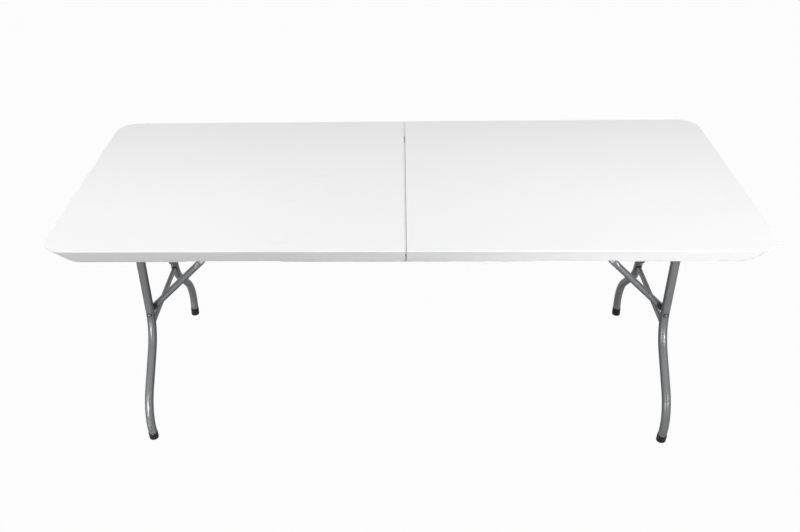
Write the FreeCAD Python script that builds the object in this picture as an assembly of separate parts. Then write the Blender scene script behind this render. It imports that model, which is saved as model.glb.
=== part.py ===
import FreeCAD, Part
import math
import os

# Fold-in-half table: two moulded top halves on steel rails, hinged across the middle,
# with a folding wishbone leg frame and a two-link brace under each half.
# Millimetres. X runs along the table, the front is -Y, Z is up, and the floor is z = 0.
# Every piece of a half is drawn on the +X side; the other half is its mirror image.

# Top
TABLE_LENGTH = 1830.0
TABLE_WIDTH = 760.0
TABLE_HEIGHT = 720.0
CORNER_RADIUS = 62.0
LOWER_CORNER_RADIUS = 80.0
TOP_EDGE_RADIUS = 2.0
TOP_EDGE_LAND = 2.5
PANEL_THICKNESS = 16.0
SKIRT_DEPTH = 44.0
SKIRT_DRAFT = 20.0
RIM_THICKNESS = 10.0
CAVITY_DRAFT = 3.0
CAVITY_CORNER_RADIUS = 36.0
SEAM_GAP = 2.0
SEAM_CHAMFER = 1.2
CENTRE_RIM_WIDTH = 19.0
RELIEF_MIDDLE = 431.0
RELIEF_LENGTH = 252.0
RELIEF_DEPTH = 3.5
RELIEF_RAMP = 12.0

# Moulded pockets that join the two skins of the panel
POCKET_MOUTH = 36.0
POCKET_FLOOR = 22.0
POCKET_DEPTH = 8.0
POCKET_PITCH = 76.0
POCKET_MARGIN = 40.0

# Side rails
RAIL_WIDTH = 18.0
RAIL_SIDE_GAP = 4.0
RAIL_WALL = 2.0
RAIL_LIP = 6.0
RAIL_START = 24.0
RAIL_TAIL = 58.0
RAIL_EDGE = 3.0
SCREW_COUNT = 4
SCREW_DIAMETER = 4.0
SCREW_LENGTH = 12.0
SCREW_HEAD_ACROSS = 8.0
SCREW_HEAD_HEIGHT = 2.4
SCREW_END_MARGIN = 130.0

# Centre hinge
HINGE_DROP = 2.0
HINGE_PIN_DIAMETER = 8.0
HINGE_EYE_RADIUS = 9.0
HINGE_ARM_THICKNESS = 3.2
HINGE_ARM_LENGTH = 110.0
HINGE_ARM_DEPTH = 18.0
HINGE_ARM_OFFSET = 9.0
HINGE_HEAD_DIAMETER = 13.0
HINGE_HEAD_HEIGHT = 2.0

# Leg frame
PIVOT_END_DISTANCE = 173.0
PIVOT_DROP = 15.0
PIVOT_TUBE_DIAMETER = 22.0
TRUNNION_DIAMETER = 12.0
TRUNNION_LENGTH = 9.5
BUSH_DIAMETER = 16.0
BUSH_FLANGE_DIAMETER = 21.0
BUSH_FLANGE = 1.2
BUSH_TAIL = 3.0
CLIP_DIAMETER = 18.0
CLIP_THICKNESS = 1.5
LEG_LEAN = 1.85
LEG_DIAMETER = 25.4
LEG_TOP_GAP = 5.0
LEG_TOP_SPREAD = 154.0
WAIST_SPREAD = 149.0
WAIST_HEIGHT = 0.4014 * TABLE_HEIGHT
FLARE_SPREAD = 320.0
FLARE_HEIGHT = 0.1597 * TABLE_HEIGHT
FOOT_SPREAD = 310.0
BEND_RADIUS = 156.0
CROSSBAR_HEIGHT = 0.4347 * TABLE_HEIGHT
CROSSBAR_DIAMETER = 15.0
FOOT_DIAMETER = 28.0
FOOT_HEIGHT = 26.0
FOOT_SOLE = 5.0

# Braces: a tube bolted to each leg, and a flat link from its elbow to an anchor under the top
BOLT_HEIGHT = 0.4917 * TABLE_HEIGHT
BOLT_DIAMETER = 8.0
BOLT_HEAD_DIAMETER = 11.0
BOLT_HEAD_HEIGHT = 2.5
BOLT_TAIL_HEIGHT = 2.0
SPACER_DIAMETER = 18.0
SPACER_THICKNESS = 5.0
BRACE_DIAMETER = 19.0
BRACE_END_THICKNESS = 12.0
BRACE_END_LENGTH = 26.0
FOLDED_OFFSET = 4.0
LINK_THICKNESS = 5.0
LINK_WIDTH = 22.0
RIVET_DIAMETER = 6.0
RIVET_HEAD_DIAMETER = 12.0
RIVET_HEAD_HEIGHT = 2.0
ANCHOR_PIN_DIAMETER = 8.0
ANCHOR_PIN_HEAD_DIAMETER = 13.0
ANCHOR_PIN_HEAD_HEIGHT = 2.5
ANCHOR_THICKNESS = 3.0
ANCHOR_WIDTH = 34.0
ANCHOR_FLANGE = 26.0

# Carry handle in the rear skirt of one half
HANDLE_END_DISTANCE = 458.0
HANDLE_NOTCH_WIDTH = 130.0
HANDLE_NOTCH_HEIGHT = 21.0
HANDLE_PIN_INSET = 23.0
HANDLE_PIN_DIAMETER = 6.0
HANDLE_PIN_BITE = 8.0
HANDLE_PIN_RISE = 12.0
HANDLE_WIDTH = 108.0
HANDLE_DROP = 52.0
HANDLE_BAR_DIAMETER = 15.0
HANDLE_ARM_THICKNESS = 9.0
HANDLE_EYE_DIAMETER = 13.0

# Clearances
TURNING_CLEARANCE = 0.05
SIDE_CLEARANCE = 0.3
PAST = 5.0

PANEL_UNDERSIDE = TABLE_HEIGHT - PANEL_THICKNESS
SKIRT_BOTTOM = TABLE_HEIGHT - SKIRT_DEPTH
INNER_WALL_X = TABLE_LENGTH / 2 - SKIRT_DRAFT - RIM_THICKNESS
INNER_WALL_Y = TABLE_WIDTH / 2 - SKIRT_DRAFT - RIM_THICKNESS
CENTRE_RIM_END = SEAM_GAP / 2 + CENTRE_RIM_WIDTH
HINGE_HEIGHT = SKIRT_BOTTOM - HINGE_DROP
PIVOT_X = TABLE_LENGTH / 2 - PIVOT_END_DISTANCE
PIVOT_HEIGHT = PANEL_UNDERSIDE - PIVOT_DROP
RAIL_OUTER_FACE = INNER_WALL_Y - RAIL_SIDE_GAP
RAIL_INNER_FACE = RAIL_OUTER_FACE - RAIL_WIDTH
RAIL_BOTTOM = PIVOT_HEIGHT - BUSH_DIAMETER / 2 - RAIL_EDGE
RAIL_END = PIVOT_X + RAIL_TAIL
FLANGE_UNDERSIDE = PANEL_UNDERSIDE - RAIL_WALL
HANDLE_X = TABLE_LENGTH / 2 - HANDLE_END_DISTANCE
SIDES = ("front", -1), ("rear", 1)

along_x = FreeCAD.Vector(1, 0, 0)
along_y = FreeCAD.Vector(0, 1, 0)
along_z = FreeCAD.Vector(0, 0, 1)
origin = FreeCAD.Vector(0, 0, 0)


def point(x, y, z):
    return FreeCAD.Vector(x, y, z)


def block(low, high):
    size = high - low
    return Part.makeBox(size.x, size.y, size.z, low)


def rod(diameter, start, end):
    return Part.makeCylinder(diameter / 2, (end - start).Length, start, end - start)


def hexagon(across, start, end):
    # A hexagonal head that stands on start, along Z.
    radius = across / math.sqrt(3)
    turns = [math.radians(60 * number) for number in range(6)]
    corners = [start + point(radius * math.cos(turn), radius * math.sin(turn), 0) for turn in turns]
    return prism(corners, end - start)


def prism(corners, travel):
    return Part.Face(Part.makePolygon(corners + corners[:1])).extrude(travel)


def tapered_block(length, start, end):
    # A block along X whose section goes from one rectangle, (y low, y high, z low, z high), to another.
    y_low, y_high, z_low, z_high = start
    end_y_low, end_y_high, end_z_low, end_z_high = end
    shape = Part.makeWedge(-y_high, 0, z_low, end_z_low, -end_y_high,
                           -y_low, length, z_high, end_z_high, -end_y_low)
    shape.rotate(origin, along_z, -90)
    return shape


def rounded_outline(x_low, x_high, y_half, radius, z):
    # A closed rectangle with round corners, level at height z.
    corners = [(x_high, -y_half), (x_high, y_half), (x_low, y_half), (x_low, -y_half)]
    outward = [(1, -1), (1, 1), (-1, 1), (-1, -1)]
    diagonal = radius * (1 - math.sqrt(0.5))
    arcs = []
    for number, (x, y) in enumerate(corners):
        out_x, out_y = outward[number]
        beside = point(x - out_x * radius, y, z)
        above = point(x, y - out_y * radius, z)
        middle = point(x - out_x * diagonal, y - out_y * diagonal, z)
        first, last = (beside, above) if number % 2 == 0 else (above, beside)
        arcs.append(Part.Arc(first, middle, last).toShape())
    edges = []
    for number, arc in enumerate(arcs):
        following = arcs[(number + 1) % len(arcs)]
        edges.append(arc)
        edges.append(Part.makeLine(arc.lastVertex().Point, following.firstVertex().Point))
    return Part.Wire(edges)


def eyed_plate(start, start_radius, end, end_radius, y_low, y_high):
    # A flat plate in the XZ plane with round ends about two points, joined by tangents.
    reach = end - start
    heading = math.atan2(reach.z, reach.x)
    flank = math.acos((start_radius - end_radius) / reach.Length)

    def rim(centre, radius, angle):
        return point(centre.x + radius * math.cos(angle), y_low, centre.z + radius * math.sin(angle))

    start_left = rim(start, start_radius, heading + flank)
    start_back = rim(start, start_radius, heading + math.pi)
    start_right = rim(start, start_radius, heading - flank)
    end_left = rim(end, end_radius, heading + flank)
    end_front = rim(end, end_radius, heading)
    end_right = rim(end, end_radius, heading - flank)
    outline = Part.Wire([
        Part.Arc(start_left, start_back, start_right).toShape(),
        Part.makeLine(start_right, end_right),
        Part.Arc(end_right, end_front, end_left).toShape(),
        Part.makeLine(end_left, start_left),
    ])
    return Part.Face(outline).extrude(along_y * (y_high - y_low))


def bent_path(corners, radius):
    # Straight runs joined by tangent arcs of one bend radius.
    edges = []
    here = corners[0]
    for before, corner, after in zip(corners, corners[1:], corners[2:]):
        back = (before - corner).normalize()
        ahead = (after - corner).normalize()
        half_angle = back.getAngle(ahead) / 2
        setback = radius / math.tan(half_angle)
        arc_start = corner + back * setback
        arc_end = corner + ahead * setback
        bisector = (back + ahead).normalize()
        arc_middle = corner + bisector * (radius / math.sin(half_angle) - radius)
        edges.append(Part.makeLine(here, arc_start))
        edges.append(Part.Arc(arc_start, arc_middle, arc_end).toShape())
        here = arc_end
    edges.append(Part.makeLine(here, corners[-1]))
    return Part.Wire(edges)


def tube_along(path, diameter):
    start = path.Edges[0].Vertexes[0].Point
    heading = path.Edges[0].Vertexes[1].Point - start
    section = Part.Wire([Part.makeCircle(diameter / 2, start, heading)])
    return path.makePipeShell([section], True, False)


def path_point_at(path, z):
    reach = TABLE_LENGTH
    level = Part.makePlane(2 * reach, 2 * reach, point(-reach, -reach, z))
    return path.distToShape(level)[1][0][0]


def solid_nearest(shape, place):
    return min(shape.Solids, key=lambda solid: solid.CenterOfMass.distanceToPoint(place))


def grouped(solids):
    return solids[0] if len(solids) == 1 else Part.makeCompound(solids)


# Places that several pieces share

leg_slope = math.radians(LEG_LEAN)
leg_pivot = point(PIVOT_X, 0, PIVOT_HEIGHT)


def down_leg(height):
    # Distance from the pivot, along the leaning leg, to a height above the floor.
    return (PIVOT_HEIGHT - height) / math.cos(leg_slope)


def in_leg_frame(shape):
    # Leg pieces are drawn upright with the pivot at the origin, then leaned and moved.
    placed = shape.copy()
    placed.rotate(origin, along_y, -LEG_LEAN)
    placed.translate(leg_pivot)
    return placed


crossbar_drop = down_leg(CROSSBAR_HEIGHT)
bolt_drop = down_leg(BOLT_HEIGHT)
floor_drop = down_leg(0)


def leg_path(side):
    corners = [
        point(0, side * LEG_TOP_SPREAD, -LEG_TOP_GAP),
        point(0, side * WAIST_SPREAD, -down_leg(WAIST_HEIGHT)),
        point(0, side * FLARE_SPREAD, -down_leg(FLARE_HEIGHT)),
        point(0, side * FOOT_SPREAD, FOOT_SOLE - floor_drop),
    ]
    return bent_path(corners, BEND_RADIUS)


leg_paths = {side: leg_path(side) for _, side in SIDES}
leg_tubes = {side: tube_along(leg_paths[side], LEG_DIAMETER) for _, side in SIDES}
crossbar_ends = {side: path_point_at(leg_paths[side], -crossbar_drop) for _, side in SIDES}

# The front brace, from the leg inwards: spacer, flattened end of the tube, link, anchor plate.
# The rear brace is its mirror image.
bolt_seat = path_point_at(leg_paths[-1], -bolt_drop)
spacer_face = bolt_seat.y + LEG_DIAMETER / 2
brace_end_outer_face = spacer_face + SPACER_THICKNESS + SIDE_CLEARANCE
brace_end_inner_face = brace_end_outer_face + BRACE_END_THICKNESS
brace_y = (brace_end_outer_face + brace_end_inner_face) / 2
brace_inner_face = brace_y + BRACE_DIAMETER / 2
link_near_face = brace_inner_face + SIDE_CLEARANCE
link_far_face = link_near_face + LINK_THICKNESS
anchor_near_face = link_far_face + SIDE_CLEARANCE
anchor_far_face = anchor_near_face + ANCHOR_THICKNESS

arm_pivot = in_leg_frame(Part.Vertex(point(0, brace_y, -bolt_drop))).Point
anchor_pivot = point(PIVOT_X - bolt_drop + FOLDED_OFFSET, brace_y, PIVOT_HEIGHT)
# Tube and link are in line when open. Folded, both lie level at the pivot's height with the elbow
# towards the leg's pivot and the bolt a little past the anchor, which settles the length of each.
brace_span = (anchor_pivot - arm_pivot).Length
link_length = (brace_span - FOLDED_OFFSET) / 2
arm_length = brace_span - link_length
brace_heading = (anchor_pivot - arm_pivot).normalize()
elbow = arm_pivot + brace_heading * arm_length


def rail_screw_places():
    places = []
    spacing = (RAIL_END - RAIL_START - 2 * SCREW_END_MARGIN) / (SCREW_COUNT - 1)
    for number in range(SCREW_COUNT):
        x = RAIL_START + SCREW_END_MARGIN + number * spacing
        for _, side in SIDES:
            places.append(point(x, side * (RAIL_INNER_FACE + RAIL_WIDTH / 2), FLANGE_UNDERSIDE))
    return places


def anchor_screw_places():
    y = anchor_far_face + (ANCHOR_FLANGE - ANCHOR_THICKNESS) / 2
    z = PANEL_UNDERSIDE - ANCHOR_THICKNESS
    places = []
    for step in (-1, 1):
        x = anchor_pivot.x + step * ANCHOR_WIDTH / 4
        places += [point(x, side * y, z) for _, side in SIDES]
    return places


def screw_shank(place):
    return rod(SCREW_DIAMETER, place, place + along_z * SCREW_LENGTH)


def frame_screws():
    screws = []
    for place in rail_screw_places() + anchor_screw_places():
        head = hexagon(SCREW_HEAD_ACROSS, place - along_z * SCREW_HEAD_HEIGHT, place)
        screws.append(screw_shank(place).fuse(head).removeSplitter().Solids[0])
    return grouped(screws)


# Top half

def handle_pin_start():
    y = TABLE_WIDTH / 2 - HANDLE_PIN_INSET
    z = SKIRT_BOTTOM + HANDLE_PIN_RISE
    return point(HANDLE_X - HANDLE_NOTCH_WIDTH / 2 - HANDLE_PIN_BITE, y, z)


def handle_pin_rod():
    length = HANDLE_NOTCH_WIDTH + 2 * HANDLE_PIN_BITE
    return rod(HANDLE_PIN_DIAMETER, handle_pin_start(), handle_pin_start() + along_x * length)


def pocket(x, y):
    # A square pocket that narrows towards its floor, in the underside of the panel.
    mouth = POCKET_MOUTH / 2
    floor = POCKET_FLOOR / 2
    shape = tapered_block(POCKET_DEPTH, (-mouth, mouth, -mouth, mouth), (-floor, floor, -floor, floor))
    shape.rotate(origin, along_y, -90)
    shape.translate(point(x, y, PANEL_UNDERSIDE))
    return shape


def pockets():
    # The grid fills the panel between the rails and leaves out the places of the brace anchors.
    half = POCKET_MOUTH / 2
    x_low = CENTRE_RIM_END + POCKET_MARGIN
    x_count = int((INNER_WALL_X - POCKET_MARGIN - POCKET_MOUTH - x_low) // POCKET_PITCH) + 1
    y_reach = RAIL_INNER_FACE - POCKET_MARGIN / 2 - half
    y_count = int(y_reach // POCKET_PITCH)
    found = []
    for column in range(x_count):
        x = x_low + half + column * POCKET_PITCH
        beside_anchor = abs(x - anchor_pivot.x) > half + ANCHOR_WIDTH / 2
        for row in range(-y_count, y_count + 1):
            y = row * POCKET_PITCH
            outside_anchor = abs(y) - half > -anchor_near_face
            inside_anchor = abs(y) + half < -anchor_near_face - ANCHOR_FLANGE
            if beside_anchor or outside_anchor or inside_anchor:
                found.append(pocket(x, y))
    return found


def top_half(with_handle):
    half_length = TABLE_LENGTH / 2
    half_width = TABLE_WIDTH / 2
    shoulder = TABLE_HEIGHT - TOP_EDGE_LAND
    upper = rounded_outline(-half_length, half_length, half_width, CORNER_RADIUS, shoulder)
    lower_length = half_length - SKIRT_DRAFT
    lower_width = half_width - SKIRT_DRAFT
    lower = rounded_outline(-lower_length, lower_length, lower_width, LOWER_CORNER_RADIUS, SKIRT_BOTTOM)
    slab = Part.makeLoft([lower, upper], True, True)
    slab = slab.fuse(Part.Face(upper).extrude(along_z * TOP_EDGE_LAND))
    rim_edges = [edge for edge in slab.Edges if edge.BoundBox.ZMin > TABLE_HEIGHT - TOP_EDGE_RADIUS]
    slab = slab.makeFillet(TOP_EDGE_RADIUS, rim_edges)
    below = SKIRT_BOTTOM - PAST
    seam = SEAM_GAP / 2
    half_box = block(point(seam, -half_width, below), point(half_length, half_width, TABLE_HEIGHT))
    slab = slab.common(half_box)
    mouth = rounded_outline(CENTRE_RIM_END, INNER_WALL_X, INNER_WALL_Y, CAVITY_CORNER_RADIUS, SKIRT_BOTTOM)
    roof = rounded_outline(CENTRE_RIM_END + CAVITY_DRAFT, INNER_WALL_X - CAVITY_DRAFT,
                           INNER_WALL_Y - CAVITY_DRAFT, CAVITY_CORNER_RADIUS, PANEL_UNDERSIDE)
    cuts = [Part.makeLoft([mouth, roof], True, True)]
    # The lower edge of each long skirt steps up over a stretch of its length.
    relief_start = RELIEF_MIDDLE - RELIEF_LENGTH / 2
    relief_end = RELIEF_MIDDLE + RELIEF_LENGTH / 2
    relief_top = SKIRT_BOTTOM + RELIEF_DEPTH
    relief = [(relief_start, below), (relief_start, SKIRT_BOTTOM), (relief_start + RELIEF_RAMP, relief_top)]
    relief += [(relief_end - RELIEF_RAMP, relief_top), (relief_end, SKIRT_BOTTOM), (relief_end, below)]
    cuts.append(prism([point(x, -half_width, z) for x, z in relief], along_y * TABLE_WIDTH))
    for _, side in SIDES:
        near = side * (RAIL_INNER_FACE - RAIL_WALL)
        far = side * INNER_WALL_Y
        gap_low = point(0, min(near, far), below)
        gap_high = point(CENTRE_RIM_END + CAVITY_CORNER_RADIUS, max(near, far), PANEL_UNDERSIDE)
        cuts.append(block(gap_low, gap_high))
    bevel = [(seam, TABLE_HEIGHT - SEAM_CHAMFER), (seam + SEAM_CHAMFER, TABLE_HEIGHT), (seam, TABLE_HEIGHT)]
    cuts.append(prism([point(x, -half_width, z) for x, z in bevel], along_y * TABLE_WIDTH))
    cuts += [screw_shank(place) for place in rail_screw_places() + anchor_screw_places()]
    if with_handle:
        notch_half = HANDLE_NOTCH_WIDTH / 2
        notch_top = SKIRT_BOTTOM + HANDLE_NOTCH_HEIGHT
        notch_low = point(HANDLE_X - notch_half, INNER_WALL_Y - CAVITY_DRAFT, below)
        cuts.append(block(notch_low, point(HANDLE_X + notch_half, half_width + PAST, notch_top)))
        cuts.append(handle_pin_rod())
    return slab.cut(cuts).cut(Part.makeCompound(pockets()))


# Rails and centre hinge

def rail(side):
    inner = side * RAIL_INNER_FACE
    wall = side * (RAIL_INNER_FACE + RAIL_WALL)
    lip = side * (RAIL_INNER_FACE + RAIL_LIP)
    outer = side * RAIL_OUTER_FACE
    lip_top = RAIL_BOTTOM + RAIL_WALL
    profile = [(inner, RAIL_BOTTOM), (lip, RAIL_BOTTOM), (lip, lip_top), (wall, lip_top)]
    profile += [(wall, FLANGE_UNDERSIDE), (outer, FLANGE_UNDERSIDE)]
    profile += [(outer, PANEL_UNDERSIDE), (inner, PANEL_UNDERSIDE)]
    shape = prism([point(RAIL_START, y, z) for y, z in profile], along_x * (RAIL_END - RAIL_START))
    holes = [rod(BUSH_DIAMETER, leg_pivot, leg_pivot + along_y * side * TABLE_WIDTH)]
    holes += [screw_shank(place) for place in rail_screw_places() if place.y * side > 0]
    return shape.cut(holes)


def hinge_arm_faces(layer):
    # The arms of the two halves lie side by side on the pin: layer 0 is the inner one.
    near = RAIL_INNER_FACE + HINGE_ARM_OFFSET + layer * (HINGE_ARM_THICKNESS + SIDE_CLEARANCE)
    return near, near + HINGE_ARM_THICKNESS


def hinge_arm(side, layer, hole_diameter):
    near, far = hinge_arm_faces(layer)
    y_low = min(side * near, side * far)
    y_high = max(side * near, side * far)
    eye = point(0, 0, HINGE_HEIGHT)
    heel = point(2 * RAIL_START, 0, FLANGE_UNDERSIDE - HINGE_EYE_RADIUS)
    shape = eyed_plate(eye, HINGE_EYE_RADIUS, heel, HINGE_EYE_RADIUS, y_low, y_high)
    root_low = point(heel.x, y_low, FLANGE_UNDERSIDE - HINGE_ARM_DEPTH)
    root = block(root_low, point(HINGE_ARM_LENGTH, y_high, FLANGE_UNDERSIDE))
    hole = rod(hole_diameter, eye + along_y * (y_low - PAST), eye + along_y * (y_high + PAST))
    return shape.fuse(root).removeSplitter().cut(hole)


def hinge_pin(side):
    start = hinge_arm_faces(0)[0] - SIDE_CLEARANCE
    end = hinge_arm_faces(1)[1]
    places = [start - HINGE_HEAD_HEIGHT, start, end, end + HINGE_HEAD_HEIGHT]
    inner_tip, inner_seat, outer_seat, outer_tip = [point(0, side * y, HINGE_HEIGHT) for y in places]
    shank = rod(HINGE_PIN_DIAMETER, inner_seat, outer_seat)
    inner_head = rod(HINGE_HEAD_DIAMETER, inner_tip, inner_seat)
    outer_head = rod(HINGE_HEAD_DIAMETER, outer_seat, outer_tip)
    return shank.fuse([inner_head, outer_head]).removeSplitter()


# Leg frame

def on_pivot(y):
    return point(0, y, 0)


def pivot_tube():
    shoulder = RAIL_INNER_FACE - BUSH_FLANGE - SIDE_CLEARANCE
    tip = shoulder + TRUNNION_LENGTH
    tube = rod(PIVOT_TUBE_DIAMETER, on_pivot(-shoulder), on_pivot(shoulder))
    trunnions = rod(TRUNNION_DIAMETER, on_pivot(-tip), on_pivot(tip))
    return in_leg_frame(tube.fuse(trunnions).removeSplitter())


def pivot_bushes():
    bushes = []
    for _, side in SIDES:
        flange_start = on_pivot(side * (RAIL_INNER_FACE - BUSH_FLANGE))
        seat = on_pivot(side * RAIL_INNER_FACE)
        tail = on_pivot(side * (RAIL_INNER_FACE + RAIL_WALL + BUSH_TAIL))
        bush = rod(BUSH_FLANGE_DIAMETER, flange_start, seat).fuse(rod(BUSH_DIAMETER, seat, tail))
        bore = rod(TRUNNION_DIAMETER + 2 * TURNING_CLEARANCE, on_pivot(0), on_pivot(side * TABLE_WIDTH))
        bushes.append(in_leg_frame(bush.removeSplitter().cut(bore)).Solids[0])
    return grouped(bushes)


def pivot_clips():
    clips = []
    for _, side in SIDES:
        near = RAIL_INNER_FACE + RAIL_WALL + BUSH_TAIL + SIDE_CLEARANCE
        ring = rod(CLIP_DIAMETER, on_pivot(side * near), on_pivot(side * (near + CLIP_THICKNESS)))
        bore = rod(TRUNNION_DIAMETER, on_pivot(0), on_pivot(side * TABLE_WIDTH))
        clips.append(in_leg_frame(ring.cut(bore)).Solids[0])
    return grouped(clips)


def bolt_rod(diameter, y_start, y_end):
    # On the axis of the front brace's bolt, in the leg frame's own place.
    return rod(diameter, point(0, y_start, -bolt_drop), point(0, y_end, -bolt_drop))


def leg(side):
    pivot = rod(PIVOT_TUBE_DIAMETER, on_pivot(-RAIL_INNER_FACE), on_pivot(RAIL_INNER_FACE))
    bolt = bolt_rod(BOLT_DIAMETER, -TABLE_WIDTH, TABLE_WIDTH)
    return in_leg_frame(leg_tubes[side].cut([pivot, bolt]))


def crossbar():
    bar = rod(CROSSBAR_DIAMETER, crossbar_ends[-1], crossbar_ends[1])
    middle = point(0, 0, -crossbar_drop)
    return in_leg_frame(solid_nearest(bar.cut(list(leg_tubes.values())), middle))


def foot_cap(side):
    ankle, sole = [vertex.Point for vertex in leg_paths[side].Edges[-1].Vertexes]
    along_leg = (sole - ankle).normalize()
    rim = sole - along_leg * (FOOT_HEIGHT - FOOT_SOLE)
    cap = rod(FOOT_DIAMETER, rim, sole + along_leg * (FOOT_SOLE + PAST))
    cap = in_leg_frame(cap.cut(leg_tubes[side]))
    reach = TABLE_LENGTH
    return cap.cut(block(point(-reach, -reach, -reach), point(reach, reach, 0)))


# Braces

def front_and_rear(front):
    # A pair of like pieces as one node: the front one and its mirror image.
    return grouped([front.Solids[0], front.mirror(origin, along_y).Solids[0]])


def brace_bolts():
    # Each bolt goes through its leg, the spacer and the brace, and is spread flat at its inner end.
    leg_face = bolt_seat.y - LEG_DIAMETER / 2
    tail_seat = brace_end_inner_face + SIDE_CLEARANCE
    head = bolt_rod(BOLT_HEAD_DIAMETER, leg_face - BOLT_HEAD_HEIGHT, bolt_seat.y)
    head = solid_nearest(head.cut(leg_tubes[-1]), point(0, leg_face, -bolt_drop))
    shank = bolt_rod(BOLT_DIAMETER, leg_face - BOLT_HEAD_HEIGHT / 2, tail_seat)
    tail = bolt_rod(BOLT_HEAD_DIAMETER, tail_seat, tail_seat + BOLT_TAIL_HEIGHT)
    return front_and_rear(in_leg_frame(shank.fuse([head, tail]).removeSplitter()))


def brace_spacers():
    spacer = bolt_rod(SPACER_DIAMETER, bolt_seat.y, spacer_face + SPACER_THICKNESS)
    spacer = solid_nearest(spacer.cut(leg_tubes[-1]), point(0, spacer_face + SPACER_THICKNESS, -bolt_drop))
    return front_and_rear(in_leg_frame(spacer.cut(bolt_rod(BOLT_DIAMETER, bolt_seat.y, 0))))


def elbow_rod(diameter, y_low, y_high):
    return rod(diameter, point(elbow.x, y_low, elbow.z), point(elbow.x, y_high, elbow.z))


def brace_tube():
    # Drawn along X from the bolt, then turned to the slope of the brace.
    radius = BRACE_DIAMETER / 2
    pressed = BRACE_END_THICKNESS / 2
    tube = rod(BRACE_DIAMETER, point(-radius, 0, 0), point(arm_length + radius, 0, 0))
    # Both ends are rounded about their pivots. The lower one is pressed flat on both sides,
    # and the upper one on the side away from the link.
    corner = block(point(-radius, -radius, -radius), point(0, radius, radius))
    corner = corner.cut(rod(BRACE_DIAMETER, point(0, -radius, 0), point(0, radius, 0)))
    flat_low = point(-BRACE_DIAMETER, -BRACE_DIAMETER, -radius)
    flat = block(flat_low, point(BRACE_END_LENGTH - radius, -pressed, radius))
    middle = point(arm_length / 2, 0, 0)
    bolt_hole = rod(BOLT_DIAMETER + 2 * TURNING_CLEARANCE, point(0, -radius, 0), point(0, radius, 0))
    cuts = [corner, flat, flat.mirror(origin, along_y), bolt_hole]
    cuts += [corner.mirror(middle, along_x), flat.mirror(middle, along_x)]
    arm = tube.cut(cuts)
    turn = math.degrees(math.atan2(-brace_heading.z, brace_heading.x))
    arm.rotate(origin, along_y, turn)
    arm.translate(arm_pivot)
    return arm.cut(elbow_rod(RIVET_DIAMETER, brace_y - pressed, brace_inner_face))


def elbow_rivets():
    seat = brace_y - BRACE_END_THICKNESS / 2
    head = elbow_rod(RIVET_HEAD_DIAMETER, seat - RIVET_HEAD_HEIGHT, seat)
    return front_and_rear(elbow_rod(RIVET_DIAMETER, seat, brace_inner_face).fuse(head).removeSplitter())


def elbow_rivet_tails():
    head = elbow_rod(RIVET_HEAD_DIAMETER, link_far_face, link_far_face + RIVET_HEAD_HEIGHT)
    shank = elbow_rod(RIVET_DIAMETER, link_near_face, link_far_face)
    return front_and_rear(shank.fuse(head).removeSplitter())


def anchor_rod(diameter, y_low, y_high):
    x = anchor_pivot.x
    z = anchor_pivot.z
    return rod(diameter, point(x, y_low, z), point(x, y_high, z))


def anchor_pin_shape(clearance):
    # The pin's head is let into the link, so the folded brace tube can pass over it.
    widen = 2 * clearance
    head_end = link_near_face + ANCHOR_PIN_HEAD_HEIGHT + clearance
    shank = anchor_rod(ANCHOR_PIN_DIAMETER + widen, link_near_face, anchor_far_face)
    head = anchor_rod(ANCHOR_PIN_HEAD_DIAMETER + widen, link_near_face, head_end)
    return shank.fuse(head).removeSplitter()


def anchor_pins():
    tail = anchor_rod(RIVET_HEAD_DIAMETER, anchor_far_face, anchor_far_face + RIVET_HEAD_HEIGHT)
    return front_and_rear(anchor_pin_shape(0).fuse(tail).removeSplitter())


def brace_link():
    eye_radius = LINK_WIDTH / 2
    link = eyed_plate(anchor_pivot, eye_radius, elbow, eye_radius, link_near_face, link_far_face)
    rivet_hole = elbow_rod(RIVET_DIAMETER, link_near_face, link_far_face)
    return link.cut([anchor_pin_shape(TURNING_CLEARANCE), rivet_hole])


def brace_anchor():
    half = ANCHOR_WIDTH / 2
    crown = point(anchor_pivot.x, 0, PANEL_UNDERSIDE - half)
    cheek = eyed_plate(anchor_pivot, LINK_WIDTH / 2, crown, half, anchor_near_face, anchor_far_face)
    flange_low = point(anchor_pivot.x - half, anchor_near_face, PANEL_UNDERSIDE - ANCHOR_THICKNESS)
    flange_high = point(anchor_pivot.x + half, anchor_near_face + ANCHOR_FLANGE, PANEL_UNDERSIDE)
    web_low = point(anchor_pivot.x - half, anchor_near_face, crown.z)
    web = block(web_low, point(anchor_pivot.x + half, anchor_far_face, PANEL_UNDERSIDE))
    shape = cheek.fuse([web, block(flange_low, flange_high)]).removeSplitter()
    holes = [screw_shank(place) for place in anchor_screw_places()]
    holes.append(anchor_rod(ANCHOR_PIN_DIAMETER, anchor_near_face, anchor_far_face))
    return shape.cut(holes)


# Carry handle

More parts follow.
